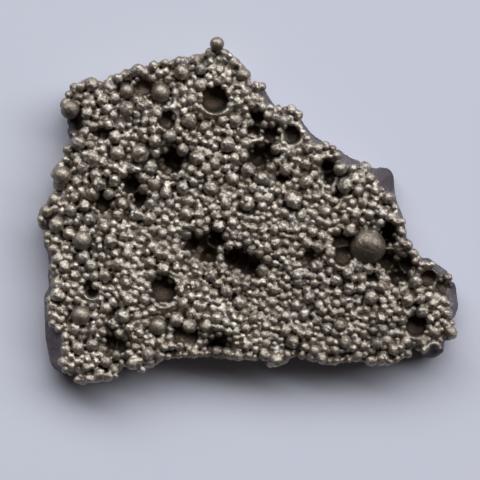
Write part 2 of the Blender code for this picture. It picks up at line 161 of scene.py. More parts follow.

# Nodules that stand out, listed one by one: x, y, radius.
noduleSurvey = [
    (217, 43, 7.5), (217, 50, 5), (212, 53, 4), (222, 53, 4), (91, 84, 8), (70, 108, 10.5), (127, 90, 8),
    (113, 79, 6), (128, 74, 7),
    (138, 69, 7), (144, 72, 6), (127, 108, 7.5), (107, 108, 6.5), (103, 100, 6.5), (87, 112, 6.5),
    (92, 103, 4.5), (85, 103, 4), (79, 90, 4), (74, 87, 5), (71, 95, 4), (76, 95, 4.5), (98, 93, 5),
    (96, 117, 4), (114, 114.5, 5), (141, 106, 5.5), (145, 121, 5), (108, 124, 5.5), (120, 126, 6),
    (115, 136, 6.5), (126, 135, 5.5), (131, 131, 3.5), (142, 131, 5), (84, 131.5, 5), (78, 142, 8),
    (91, 144, 5), (95, 138, 3.5), (123, 143, 5),
    (160.5, 91.5, 10.5), (182, 72, 8), (201, 68, 6.5), (211, 68, 4.5), (220, 69, 5), (239, 70, 7.5),
    (223, 57, 7.5), (210.5, 61, 4), (200, 57.5, 4.5), (193, 58, 4), (179, 61, 5), (188, 64, 3.5),
    (165, 63, 4.5), (154, 65, 5), (166, 71, 4.5), (232, 60, 4), (246, 77, 5), (194, 77, 3.5), (200, 84, 7),
    (208, 77, 5), (217, 81, 4.5), (228, 80, 5), (237, 85, 3.5), (229, 92, 4), (238, 101, 6), (254, 98, 4),
    (230, 105, 3.5), (189, 119.5, 8.5), (235.5, 119.5, 7), (184, 111, 4.5), (175, 116, 4),
    (172, 107, 3.5), (165, 108, 4), (190, 107, 3.5), (152.5, 121, 5), (153, 129.5, 5), (155, 140, 6.5),
    (170, 135.5, 6.5), (179, 129, 4.5), (193, 133, 4), (189, 140, 4), (200, 139, 3.5), (205, 126.5, 6.5),
    (217, 131, 4.5), (230, 133, 5), (243, 132, 5), (227.5, 144, 8), (252, 137.5, 5.5), (215, 147, 4.5),
    (182, 149, 6.5), (245, 109, 4),
    (257, 86, 6), (262, 86, 4.5), (278, 109, 5.5), (286, 110, 5), (291, 109, 5.5), (298, 114, 6),
    (263, 107, 5), (268, 115, 5), (283, 120, 5), (262, 131, 3), (262, 138, 3), (277, 138, 3),
    (307, 138, 4.5), (308, 147, 6), (318, 148, 4.5), (326, 145, 5), (332.5, 148, 4.5), (337, 155, 4),
    (276, 148, 6.5), (283, 149, 4), (291, 152.5, 5), (305, 163, 6), (286, 168.5, 7), (296.5, 172.5, 4.5),
    (292, 164, 3.5), (314, 174, 5), (263, 177.5, 7.5), (306, 180, 8), (340, 168, 7), (353, 168, 4.5),
    (365, 167.5, 7), (361, 175, 4), (345, 184, 8.5), (337, 179, 4), (358, 190, 6), (375, 190, 5),
    (375, 185, 3), (389, 197.5, 7), (381, 195, 4), (376, 199, 4), (373, 205, 5), (382, 202, 3),
    (356, 213, 5.5), (364, 211, 3), (369.5, 213.5, 5), (383, 213, 5), (390.5, 216.5, 5.5),
    (396.5, 221, 5), (402, 221, 4), (381, 222.5, 5), (376, 228, 5), (362, 221, 3.5), (366, 227, 3),
    (350, 229.5, 7.5), (368, 245, 16), (376, 241, 4), (395, 235, 3.5), (399, 238, 3.5), (402, 242, 3.5),
    (391, 245, 4), (397, 245, 4), (408, 244.5, 5.5), (387, 172, 2.5),
    (62, 174, 10.5), (76, 181, 6), (82.5, 167, 6), (77, 161, 4.5), (96, 174, 6.5), (99, 183.5, 7.5),
    (86, 182, 4), (104, 162, 5), (102.5, 149.5, 4.5), (117, 152, 7.5), (140, 152.5, 9.5), (116, 166.7, 5),
    (131, 168, 5), (138, 169, 4), (115, 180, 6.5), (109, 193, 6.5), (124, 194, 4), (131, 195, 3),
    (59, 193.5, 7), (74, 197, 5), (66, 204, 4), (71, 209, 6.5), (84, 205, 6.5), (49, 207, 6), (55, 208, 4),
    (43.5, 221.5, 7), (56.5, 223.5, 8), (66, 222, 3), (76, 221, 4), (89, 218, 6.5), (69, 232.5, 7),
    (83, 229, 5), (92, 231, 4), (82, 239, 10.5), (55, 240, 5), (53, 249, 5), (65, 248, 5), (103, 222, 6),
    (104, 227, 5), (111, 240, 7.5), (113, 231, 4.5), (99, 240, 4), (100, 247, 4.5), (124, 236, 5),
    (131, 236, 4), (118, 214, 6.5), (136, 214, 7.5), (132.5, 207.5, 4.5), (122.5, 203, 6), (124, 222, 3.5),
    (149, 217.5, 7), (157, 211, 5), (143, 232, 4.5), (141, 240, 5), (128, 247, 5), (134, 244, 3.5),
    (115, 253, 5.5), (127.5, 253.5, 6), (138, 253.5, 4), (147, 252, 4.5), (82.5, 256, 7.5), (91, 252, 2.5),
    (151, 167, 8), (175, 176, 5.5), (182.5, 187, 7), (167, 184, 4), (159, 173, 3.5), (166.5, 191.5, 6.5),
    (155, 196.5, 5), (197, 157, 8.5), (208, 153, 5), (203, 149, 4), (197, 148, 4), (214.5, 162.5, 6),
    (225, 158, 5), (226.5, 167.5, 5), (236, 168, 4), (237, 149, 5), (244, 155.5, 5.5), (248.5, 169, 7.5),
    (232.5, 177.5, 7.5), (242, 178, 4), (248, 180, 4), (230, 186.5, 6), (253, 187.5, 5.5), (211, 187, 8),
    (210, 177, 5), (199, 174, 5), (191, 169, 5), (194, 181, 5), (196, 195, 4.5), (191, 191, 4),
    (208, 200.5, 6), (203, 197, 3.5), (222.5, 196, 5), (225.5, 202.5, 6), (247, 202.5, 8.5),
    (212.5, 207.5, 5), (216, 215, 5.5), (198, 214, 5.5), (186, 213, 7), (178, 215, 4), (172, 215, 4),
    (169, 202.5, 5), (177, 207, 3.5), (162, 205, 3.5), (162, 232.5, 5), (171.5, 230, 5), (152.5, 246, 6),
    (158, 252, 5), (218.5, 225.5, 7), (232.5, 222, 5.5), (245, 225.5, 5), (253, 228, 4.5), (234, 234.5, 5),
    (238, 245, 4.5), (229, 245, 5), (252, 250, 5.5), (240, 215, 4.5), (256, 219, 3.5), (258, 177, 5),
    (187, 254, 5),
    (270.5, 183, 5), (277, 190.5, 4.5), (262, 206, 5), (280, 202.5, 4.5), (269, 215.5, 4), (284, 212, 5.5),
    (282.5, 226, 6), (262, 229, 6), (275, 229, 5.5), (265, 237, 5), (282, 234, 4), (289, 230, 4),
    (295.5, 229, 5), (303, 227, 4.5), (293, 199, 9.5), (315.5, 196.5, 5), (322, 194, 5), (328, 197, 4.5),
    (335, 201, 5), (343, 206, 4.5), (305, 204, 4.5), (325, 210.5, 6), (343, 211.5, 4), (344.5, 218.5, 5.5),
    (352.5, 202.5, 4), (312.5, 231, 6), (322, 235.5, 5), (307, 242, 5.5), (318, 246, 6.5), (331, 240, 3.5),
    (275, 242, 6), (286, 242, 4.5), (295, 245, 4.5), (257, 243, 3.5), (277, 254, 4.5), (325, 258, 4.5),
    (69.5, 258, 4), (65, 266, 6), (75, 265, 4), (91.5, 265, 6.5), (101, 266, 4), (105, 275, 7),
    (74, 275, 5), (82, 281, 3.5), (57, 283, 6.5), (67, 286, 5), (75, 286, 3.5), (57.5, 294, 8),
    (115, 281, 4), (126, 282, 6), (110, 289, 4), (119, 288, 3.5), (123, 294, 4.5), (135, 294, 4),
    (128, 299, 5.5), (118, 297, 3.5), (103, 288, 4), (80.5, 314, 10.5), (95, 315, 5.5), (83, 303, 4),
    (69, 307, 4), (60, 310, 5.5), (55, 316, 5), (65, 314, 4), (61, 320, 4.5), (52, 323, 4.5),
    (58, 328, 4.5), (65, 336, 4.5), (74, 328, 6), (83, 331, 4), (92, 330, 4.5), (103, 332, 4.5),
    (106, 307.5, 6.5), (113, 302, 5.5), (122.5, 315, 7.5), (114, 323, 7), (107, 321, 4), (119, 333, 5),
    (130, 327, 5.5), (142, 306, 4.5), (145, 299, 5.5), (137, 316, 4), (145, 314, 4), (140, 332, 5),
    (78, 347, 7), (75, 343, 4), (92, 344, 6.5), (71, 356, 3.5), (77, 361, 4.5), (87, 359, 3.5),
    (100, 356, 5), (106, 361, 6.5), (71, 366, 4.5), (86, 367, 4.5), (82, 377, 7.5), (99.5, 373.5, 7),
    (107, 376, 6), (115, 369, 3.5), (116, 376, 3), (129, 344, 4), (135, 347, 4), (142, 346, 4),
    (129, 353, 4.5), (139, 361, 5.5), (148, 353, 6.5),
    (150, 262, 6.5), (163, 268, 7), (177, 267, 5), (185, 269, 4), (195, 266, 5), (195, 271, 4),
    (205, 264, 4), (211, 274, 7), (228, 273, 4), (218, 282.5, 5.5), (236, 282, 4.5), (245, 285, 5),
    (227, 290, 6.5), (254, 281, 4.5), (195, 285, 6), (185, 282, 4.5), (180, 288.5, 6), (171, 280, 3.5),
    (147, 285.5, 4.5), (191, 296, 5), (199, 296, 3.5), (239.5, 301.5, 7.5), (183, 303, 6), (197, 305, 5),
    (203, 306, 4.5), (191, 312.5, 5), (177, 319, 7.5), (158, 325, 9.5), (189, 325, 8), (206, 325, 6),
    (206, 316, 5), (216.5, 317.5, 6), (226, 322, 4), (234, 317, 4), (240, 319, 4), (246, 327.5, 6),
    (254, 318, 5.5), (236, 331, 4.5), (236, 337, 4), (219, 333, 4), (247, 344, 6), (239, 351, 5),
    (255, 349, 4), (180, 345.5, 5), (164, 347, 4.5), (262.5, 270, 7), (257, 282, 5), (263, 281, 5),
    (276, 263, 4), (287, 263, 4), (297, 265, 5.5), (288, 268, 4), (297, 275, 5.5), (298, 282, 5.5),
    (287, 278, 4), (316.5, 265, 7.5), (329, 271, 4), (348, 272, 6), (358, 266.5, 5.5), (368, 268, 6.5),
    (336, 280, 6.5), (326, 282, 5), (314, 283, 4.5), (323, 287, 4), (307, 290, 5), (309, 297, 6),
    (316, 292, 4), (337, 292.5, 5.5), (328, 292, 4.5), (349.5, 288, 7), (361, 288, 5.5), (283, 296, 4.5),
    (289, 295, 3.5), (295.5, 305, 5.5), (262, 305, 5), (304, 313.5, 6.5), (274, 314, 4), (286, 315.5, 5.5),
    (266, 325.5, 4.5), (277, 329, 3.5), (296, 329, 4), (300, 333, 4.5), (308, 333, 5), (292, 341, 7),
    (305, 347, 5), (314.5, 350, 6), (336, 350, 5), (325, 349, 4), (327, 328, 6), (340, 324, 6),
    (317, 321, 5), (319, 305, 5), (343, 301.5, 4.5), (323, 311, 5), (334, 312, 5), (353, 315, 5),
    (365, 319, 4.5), (345, 341.5, 6), (353, 348, 3.5), (365, 353.5, 4.5), (282, 352, 4.5), (266, 354, 4),
    (271, 361, 6), (283, 358, 6),
    (415, 261, 4), (421, 264, 4), (427, 265, 4), (432, 264, 4), (412, 272.5, 5), (420, 269, 3),
    (415.5, 281, 7.5), (403, 285, 5.5), (408, 292, 3), (441, 279, 3), (448, 277, 5), (430, 288, 3),
    (407.5, 298.5, 7.5), (420, 299, 5), (395.5, 291, 5), (392, 287, 4), (397, 297, 4), (387, 294, 4.5),
    (390, 299, 4), (371, 297, 8), (397.5, 310, 5), (422, 310.5, 7), (430, 318.5, 5), (447, 313, 6),
    (402.5, 320.5, 5), (381, 317.5, 6), (372, 316, 4.5), (437, 325, 3.5), (453, 323, 3), (445, 335, 3),
    (441, 340, 3), (376.5, 343, 6), (394, 349, 5.5), (399, 347, 5.5), (408, 353, 4.5), (383, 357.5, 7),
    (391, 333, 4.5), (397, 332, 4.5), (402, 334, 4),
]

# The fine grain between them grows by rule, largest first: radius in survey steps, tries.
grain = {
    "seed": 27,
    "sizes": [(5.6, 900), (5.0, 2500), (4.4, 6000), (3.8, 12000), (3.2, 20000), (2.6, 30000)],
    "sizeSpread": 0.14,
    "closeness": 0.8,         # least gap between centres, as a share of both radii
    "ball": 1.22,             # radius of the ball behind each dome, as a share of the dome's
    "moat": 0.96,             # the closeness that large nodules allow
    "sunk": 0.5,              # how far the ball's centre lies below the plate
    "finest": (300, 290, 130, 0.84),   # x, y, reach and share where the grain is finest
    "raster": 2,              # cells per survey step, for finding free room
    "rasterSide": 480,        # survey steps
    "reach": 9,               # steps beyond a nodule in which it matters
    "large": 6,               # survey radius of a large nodule
    "bowlRoom": 0.85,         # share of a bowl, hole or lip that stays free
    "holeRoom": 0.95,
    "lipRoom": 0.6,
    "lipEnds": 12,            # degrees of a lip's ends that may be overgrown
    "lipPitch": 6,
}

# How a nodule differs from a ball, and the small buds on the rough ones.
nodule = {
    "seed": 11,
    "shapes": 14,             # lumpy balls to choose from
    "dents": (0.14, 0.08),    # broad and fine
    "stretch": 0.14,
    "low": (4, 1.02, -0.16),  # survey radius, ball and rise of the low ones
    "proud": (8.5, 0.93, 0.05),   # and of those that stand out like balls
    "riseSpread": 0.1,
    "nearer": 0.13,           # the survey follows the bright caps, the nodules sit this much nearer
    "dome": (1.15, -0.68),    # ball and rise of a broad dome
    "buds": 11,
    "budSize": 0.34,          # of the nodule's radius
    "budRise": 0.33,          # how much of a bud stands out
    "budLift": (0.15, 0.95),  # how high on the nodule
    "budSpread": (0.7, 1.2),
    "budsFrom": 4.5,          # survey radius of the smallest nodule with buds
    "domeFrom": 12,           # survey radius of a broad dome
    "deepestFoot": 0.5,       # mm below the crust, for nodules beside a hole
    "fineFrom": 0.45,         # mm of radius from which a ball gets the finer mesh
    "smoothness": 0.85,       # 1 would be a perfect ball
    "smoothWithin": 3,
    "smooth": [               # places of the smooth ones
        (70, 108), (160, 91), (82, 239), (80, 314), (62, 174), (127, 90), (217, 43), (158, 325), (368, 245),
    ],
}

# Nodules that hang on the sides.
rim = {
    "seed": 5,
    "sizes": [(6.2, 300), (5.2, 900), (4.2, 2500), (3.2, 6000)],   # radius in steps, tries
    "lowest": 0.45,           # mm above the back
    "highest": 2.75,
    "sizeRange": (0.85, 1.15),
    "bareFrom": 0.05,         # mm of bare width that keeps nodules away
    "clearOfBare": 6,         # outline points kept free beside a bare face
    "clearOfBack": 1.4,       # least height of a centre, in ball radii
    "closeness": 0.86,
    "ball": 1.12,
    "standOut": (0.85, 1.1),  # how far in its centre lies, as a share of its radius
}


def toPlate(points):
    points = np.array(points, float)
    across = (points[:, 0] - surveyMiddle[0]) * chip["step"]
    away = (surveyMiddle[1] - points[:, 1]) * chip["step"]
    return np.column_stack([across, away])


def onPlate(rows):
    # survey rows with their places in mm
    return [(x, y, *row[2:]) for (x, y), row in zip(toPlate([row[:2] for row in rows]), rows)]


def respaced(outline, pitch):
    # the same closed outline, rounded a little, with points an even pitch apart
    ahead = np.roll(outline, -1, axis=0)
    outline = np.column_stack([0.75 * outline + 0.25 * ahead, 0.25 * outline + 0.75 * ahead]).reshape(-1, 2)
    closed = np.vstack([outline, outline[:1]])
    run = np.concatenate([[0], np.cumsum(np.linalg.norm(np.diff(closed, axis=0), axis=1))])
    at = np.linspace(0, run[-1], int(run[-1] / pitch), endpoint=False)
    return np.column_stack([np.interp(at, run, closed[:, 0]), np.interp(at, run, closed[:, 1])])


def inwardNormals(outline, reach=8):
    along = sum(np.roll(outline, -k, axis=0) - np.roll(outline, k, axis=0) for k in range(1, reach))
    along /= np.linalg.norm(along, axis=1)[:, None]
    return np.column_stack([along[:, 1], -along[:, 0]])


def bareWidth(outline):
    width = np.zeros(len(outline))
    for x, y, reach, bare in onPlate(bareSurvey):
        away = np.linalg.norm(outline - (x, y), axis=1) / (reach * chip["step"])
        width = np.maximum(width, bare * chip["step"] * np.clip(chip["bareEnds"] * (1 - away**2), 0, 1))
    for _ in range(chip["bareSmoothing"]):
        width = 0.5 * width + 0.25 * (np.roll(width, 1) + np.roll(width, -1))
    return width


def edgeDistance(points, outline):
    # how far inside the outline each point is, and which outline point is nearest
    away = np.full(len(points), np.inf)
    nearest = np.zeros(len(points), int)
    for i, (x, y) in enumerate(outline):
        gap = np.hypot(points[:, 0] - x, points[:, 1] - y)
        closer = gap < away
        away[closer] = gap[closer]
        nearest[closer] = i
    return away, nearest


def insideOutline(points, outline):
    start, end = outline, np.roll(outline, -1, axis=0)
    px, py = points[:, 0, None], points[:, 1, None]
    rise = end[:, 1] - start[:, 1]
    rise[rise == 0] = 1e-9
    crossing = ((start[:, 1] > py) != (end[:, 1] > py)) & (
        px < start[:, 0] + (py - start[:, 1]) / rise * (end[:, 0] - start[:, 0])
    )
    return crossing.sum(axis=1) % 2 == 1


def unevenness(points, size, seed):
    return np.array([noise.noise(Vector((x / size, y / size, seed))) for x, y in points])


def crustLevel(points):
    # the plate's upper side before its holes and craters
    x, y = points[:, 0], points[:, 1]
    acrossRate, acrossShift, alongRate, alongShift = chip["waves"]
    wave = np.sin(acrossRate * x + acrossShift) * np.cos(alongRate * y + alongShift)
    deep, wide, seed = chip["dips"]
    height = chip["plateThickness"] + chip["swell"] * wave + deep * unevenness(points, wide, seed)
    middle, width = chip["moatPlace"]
    for nx, ny, size in onPlate(noduleSurvey):
        if size > chip["moatFrom"]:
            away = np.hypot(x - nx, y - ny) / (size * chip["step"])
            height -= chip["moat"] * np.exp(-((away - middle) / width) ** 2)
    return height


def bowlDepth(points):
    depth = np.zeros(len(points))
    diagonal = 1.414
    for bx, by, radius, deepest in onPlate(craterSurvey):
        x, y = points[:, 0] - bx, points[:, 1] - by
        away = np.hypot(x, y) / (radius * chip["step"])
        across = (x + y) / (diagonal * radius * chip["step"])    # deeper towards the far right
        depth += deepest * np.sqrt(np.clip(1 - away**2, 0, None)) * (1 + chip["craterTilt"] * across)
    return depth


def lipRise(points):
    # thin raised rims on the near side of the bowls
    rise = np.zeros(len(points))
    for lx, ly, radius, start, end, thickness in onPlate(lipSurvey):
        x, y = points[:, 0] - lx, points[:, 1] - ly
        off = (np.hypot(x, y) / chip["step"] - radius) / (chip["lipWidth"] * thickness)
        share = (np.degrees(np.arctan2(y, x)) % 360 - start) / (end - start)
        taper = np.sin(np.pi * np.clip(share, 0, 1)) ** chip["lipTaper"]
        rise = np.maximum(rise, chip["lipHeight"] * thickness * chip["step"] * taper * np.exp(-off * off))
    return rise


def plateHeight(points):
    x, y = points[:, 0], points[:, 1]
    pit = np.zeros(len(points))
    for hx, hy, radius, depth in onPlate(holeSurvey):
        away = np.hypot(x - hx, y - hy) / (chip["funnel"] * radius * chip["step"])
        pit = np.maximum(pit, chip["holeDepth"] * depth * np.clip(1 - away**2, 0, None) ** chip["pitCurve"])
    height = crustLevel(points) + lipRise(points) - np.maximum(pit, bowlDepth(points))
    return np.maximum(height, chip["leastMetal"])


def roundedEdge(height, away):
    # how the crust rolls over towards the side
    share = np.clip(away / chip["edgeRound"], 0, 1)
    return chip["widestHeight"] + (height - chip["widestHeight"]) * np.sqrt(1 - (1 - share) ** 2)


def plateTop(points, outline, bare):
    # the crust, falling to the broken faces near the edge
    height = plateHeight(points)
    away, nearest = edgeDistance(points, outline)
    width = bare[nearest]
    fracture = sum(deep * unevenness(points, wide, seed) for deep, wide, seed in chip["fractures"])
    fall = np.clip(away / np.maximum(width, 1e-6), 0, 1)
    slope = chip["widestHeight"] + (height - chip["widestHeight"]) * fall ** chip["fallCurve"] + fracture
    return np.where(width > chip["bareFrom"], np.where(fall < 1, slope, height), roundedEdge(height, away))


def ripple(x, y, z):
    return sum(
        share * noise.noise(Vector((x / wide, y / wide, z / high))) for share, wide, high in chip["flutes"]
    )


def plateMesh():
    pitch = chip["gridPitch"]
    outer = respaced(toPlate(outlineSurvey), chip["outlinePitch"])
    bare = bareWidth(outer)
    inward = inwardNormals(outer)
    covered = np.clip(1 - bare / chip["bareFull"], 0, 1)
    outline = outer + inward * (chip["nodularSetback"] * covered)[:, None]
    low, high = outline.min(axis=0), outline.max(axis=0)
    columns, rows = np.meshgrid(np.arange(low[0], high[0], pitch), np.arange(low[1], high[1], pitch))
    grid = np.column_stack([columns.ravel(), rows.ravel()])
    grid = grid[insideOutline(grid, outline)]
    grid = grid[edgeDistance(grid, outline)[0] > 0.6 * pitch]
    edges = [(i, (i + 1) % len(outline)) for i in range(len(outline))]
    flat = [Vector(point) for point in np.vstack([outline, grid])]
    flat, _, faces = delaunay_2d_cdt(flat, edges, [], 1, 1e-6, False)[:3]
    flat = np.array(flat)
    points = [np.column_stack([flat, plateTop(flat, outline, bare)])]
    faces = [tuple(face) for face in faces]

    # the sides below, in rings down to the back
    count = len(outline)
    upper = np.arange(count)
    base = len(flat)
    for k in range(1, chip["sideRings"] + 1):
        share = k / chip["sideRings"]
        height = points[0][:count, 2] * (1 - share)
        rippled = np.array([ripple(x, y, z) for (x, y), z in zip(outline, height)])
        late = np.clip(share * chip["undercut"] - (chip["undercut"] - 1), 0, 1)
        away = chip["backSetback"] * late**2 - chip["sideRoughness"] * rippled
        points.append(np.column_stack([outline + inward * away[:, None], height]))
        lower = base + np.arange(count)
        for i in range(count):
            j = (i + 1) % count
            faces.append((upper[j], upper[i], lower[i], lower[j]))
        upper = lower
        base += count
    faces.append(tuple(upper))
    return np.vstack(points), faces, outer, outline, bare


def lumpyBalls(subdivisions, rng):
    # a few uneven balls of radius 1 that every nodule is picked from
    shape = bmesh.new()
    bmesh.ops.create_icosphere(shape, subdivisions=subdivisions, radius=1)
    unit = np.array([v.co for v in shape.verts])
    faces = np.array([[v.index for v in face.verts] for face in shape.faces])
    shape.free()
    shapes = []
    for _ in range(nodule["shapes"]):
        seed = rng.uniform(-50, 50, 3)
        broad = np.array([noise.noise(Vector(point * 2.1 + seed)) for point in unit])
        small = np.array([noise.noise(Vector(point * 4 - seed)) for point in unit])
        dents = nodule["dents"][0] * broad + nodule["dents"][1] * small
        stretch = 1 + nodule["stretch"] * rng.uniform(-1, 1, 3)
        shapes.append(unit * (1 + dents)[:, None] * stretch)
    return shapes, faces


def finenessAt(x, y):
    fx, fy, reach, share = grain["finest"]
    return 1 - (1 - share) * math.exp(-((x - fx) ** 2 + (y - fy) ** 2) / (reach * reach))


def fineGrain(outline, known):
    # darts thrown on a fine raster that holds the free room around each place
    rng = np.random.default_rng(grain["seed"])
    cells, beyond = grain["raster"], grain["reach"]
    side = grain["rasterSide"] * cells
    ys, xs = np.mgrid[0:side, 0:side] / cells
    room = np.full((side, side), 99.0)

    def take(x, y, held, reach):
        x0, x1 = max(0, int((x - reach) * cells)), min(side, int((x + reach) * cells) + 1)
        y0, y1 = max(0, int((y - reach) * cells)), min(side, int((y + reach) * cells) + 1)
        gap = np.hypot(xs[y0:y1, x0:x1] - x, ys[y0:y1, x0:x1] - y) - held
        room[y0:y1, x0:x1] = np.minimum(room[y0:y1, x0:x1], gap)

    closeness = grain["closeness"]
    for x, y, radius in known:
        take(x, y, (closeness if radius < grain["large"] else grain["moat"]) * radius, radius + beyond)
    for x, y, radius, _ in craterSurvey:
        take(x, y, grain["bowlRoom"] * radius, radius + beyond)
    for x, y, radius, _ in holeSurvey:
        take(x, y, grain["holeRoom"] * radius, radius + beyond)
    for x, y, radius, start, end, thickness in lipSurvey:
        turns = np.arange(start + grain["lipEnds"], end - grain["lipEnds"], grain["lipPitch"])
        for turn in np.radians(turns):
            lipX, lipY = x + radius * math.cos(turn), y - radius * math.sin(turn)
            take(lipX, lipY, grain["lipRoom"] * thickness, thickness + beyond)
    step = chip["step"]
    edge = np.column_stack([outline[:, 0] / step + surveyMiddle[0], surveyMiddle[1] - outline[:, 1] / step])
    bare = bareWidth(outline) / step
    low, high = edge.min(axis=0), edge.max(axis=0)
    grown = []
    for size, tries in grain["sizes"]:
        places = rng.uniform(low, high, (tries, 2))
        radii = size * (1 + grain["sizeSpread"] * rng.uniform(-1, 1, tries))
        away, nearest = edgeDistance(places, edge)
        allowed = insideOutline(places, edge) & (away > bare[nearest])
        for (x, y), radius, within in zip(places, radii, allowed):
            radius *= finenessAt(x, y)
            if within and room[int(y * cells), int(x * cells)] > closeness * radius:
                grown.append((x, y, radius))
                take(x, y, closeness * radius, radius + beyond)
    return grown


def rimNodules(outline):
    # nodules packed on the sides, none on the bare broken faces
    rng = np.random.default_rng(rim["seed"])
    inward = inwardNormals(outline)
    bare = bareWidth(outline)
    beside = range(-rim["clearOfBare"], rim["clearOfBare"] + 1)
    bare = np.max([np.roll(bare, shift) for shift in beside], axis=0)
    run = np.concatenate([[0], np.cumsum(np.linalg.norm(np.diff(outline, axis=0), axis=1))])
    taken = np.zeros((0, 3))
    placed = []
    for size, tries in rim["sizes"]:
        least, most = (0, rim["lowest"], rim["sizeRange"][0]), (run[-1], rim["highest"], rim["sizeRange"][1])
        for at, height, vary in rng.uniform(least, most, (tries, 3)):
            radius = size * chip["step"] * vary
            i = int(np.searchsorted(run, at)) % len(outline)
            gaps = np.hypot(taken[:, 0] - at, taken[:, 1] - height)
            gaps -= rim["closeness"] * (taken[:, 2] + radius)
            if bare[i] > rim["bareFrom"] or (len(gaps) and gaps.min() < 0):
                continue
            taken = np.vstack([taken, (at, height, radius)])
            lowered = chip["backSetback"] * max(0.0, 1 - height / chip["widestHeight"])
            x, y = outline[i] + inward[i] * (radius * rng.uniform(*rim["standOut"]) + lowered)
            ball = radius * rim["ball"]
            placed.append((x, y, max(height, rim["clearOfBack"] * ball), ball))
    return placed


def buds(x, y, z, radius, rng):
    grown = []
    for _ in range(nodule["buds"]):
        turn, lift = rng.uniform(0, 2 * math.pi), rng.uniform(*nodule["budLift"])
        flat = math.sqrt(1 - lift * lift)
        size = nodule["budSize"] * radius * rng.uniform(*nodule["budSpread"])
        reach = radius - (1 - nodule["budRise"]) * size
        out = reach * flat
        grown.append((x + out * math.cos(turn), y + out * math.sin(turn), z + reach * lift, size))
    return grown


def nodules(outer, outline, bare):
    # centre and radius of every nodule in mm, and whether it is a smooth one
    rng = np.random.default_rng(nodule["seed"])
    smooth = KDTree(len(nodule["smooth"]))
    for i, (x, y) in enumerate(nodule["smooth"]):
        smooth.insert((x, y, 0), i)
    smooth.balance()
    grown = fineGrain(outline, noduleSurvey)
    survey = np.array(noduleSurvey + grown)
    centres = toPlate(survey[:, :2])
    ground = np.maximum(plateHeight(centres), crustLevel(centres) - nodule["deepestFoot"])
    ground[len(noduleSurvey):] = plateHeight(centres[len(noduleSurvey):])
    away, nearest = edgeDistance(centres, outline)
    ground = np.where(bare[nearest] > chip["bareFrom"], ground, roundedEdge(ground, away))
    placed, small = [], []
    for i, ((x, y), foot, (sx, sy, size)) in enumerate(zip(centres, ground, survey)):
        radius = size * chip["step"]
        surveyed = i < len(noduleSurvey)
        if size > nodule["domeFrom"]:
            ball, rise = nodule["dome"]
        elif surveyed:
            sizes, balls, rises = zip(nodule["low"], nodule["proud"])
            ball, rise = np.interp(size, sizes, balls), np.interp(size, sizes, rises)
        else:
            ball, rise = grain["ball"], -grain["sunk"]
        foot += (rise + nodule["riseSpread"] * rng.uniform(-1, 1)) * radius
        if surveyed:
            y -= nodule["nearer"] * radius
        isSmooth = surveyed and smooth.find((sx, sy, 0))[2] < nodule["smoothWithin"]
        placed.append((x, y, foot, ball * radius, isSmooth))
        if surveyed and size > nodule["budsFrom"] and not isSmooth:
            small += buds(x, y, foot, ball * radius, rng)
    placed += [(*ball, False) for ball in rimNodules(outer) + small]
    return np.array(placed)


def grownMesh():
    points, faces, outer, outline, bare = plateMesh()
    print("plate:", len(points), "points")
    placed = nodules(outer, outline, bare)
    print("nodules:", len(placed))
    rng = np.random.default_rng(nodule["seed"])
    verts, loops, counts = [points], [], []
    loops.append(np.concatenate([np.array(face) for face in faces]))
    counts.append(np.array([len(face) for face in faces]))
    base = len(points)
    rough, fine = lumpyBalls(3, rng), lumpyBalls(4, rng)
    for x, y, z, radius, isSmooth in placed:
        shapes, triangles = fine if radius > nodule["fineFrom"] else rough
        turn, _ = np.linalg.qr(rng.normal(size=(3, 3)))
        lump = shapes[rng.integers(len(shapes))] @ turn
        if isSmooth:
            lump = lump / np.linalg.norm(lump, axis=1)[:, None] ** nodule["smoothness"]
        verts.append(lump * radius + (x, y, z))
        corners = triangles if np.linalg.det(turn) > 0 else triangles[:, ::-1]
        loops.append((corners + base).ravel())
        counts.append(np.full(len(triangles), 3))
        base += len(lump)
    verts, loops, counts = np.vstack(verts) * mm, np.concatenate(loops), np.concatenate(counts)
    mesh = bpy.data.meshes.new("nodularChip")
    mesh.vertices.add(len(verts))
    mesh.vertices.foreach_set("co", verts.ravel())
    mesh.loops.add(len(loops))
    mesh.loops.foreach_set("vertex_index", loops.astype(np.int32))
    mesh.polygons.add(len(counts))
    mesh.polygons.foreach_set("loop_start", np.concatenate([[0], np.cumsum(counts)[:-1]]).astype(np.int32))
    mesh.update(calc_edges=True)
    mesh.validate()
    return mesh, placed, outline, bare


def applied(piece):
    graph = bpy.context.evaluated_depsgraph_get()
    mesh = bpy.data.meshes.new_from_object(piece.evaluated_get(graph))
    piece.modifiers.clear()
    piece.data = mesh


def dropLooseBits(mesh):
    # only the largest connected part stays
    shape = bmesh.new()
    shape.from_mesh(mesh)
    left = set(shape.verts)
    parts = []
    while left:
        front = [left.pop()]
        part = []
        while front:
            vert = front.pop()
            part.append(vert)
            around = [edge.other_vert(vert) for edge in vert.link_edges]
            around = [other for other in around if other in left]
            left.difference_update(around)
            front += around
        parts.append(part)
    parts.sort(key=len)
    bmesh.ops.delete(shape, geom=[vert for part in parts[:-1] for vert in part], context="VERTS")
    shape.to_mesh(mesh)
    shape.free()
    print("loose bits dropped:", len(parts) - 1)


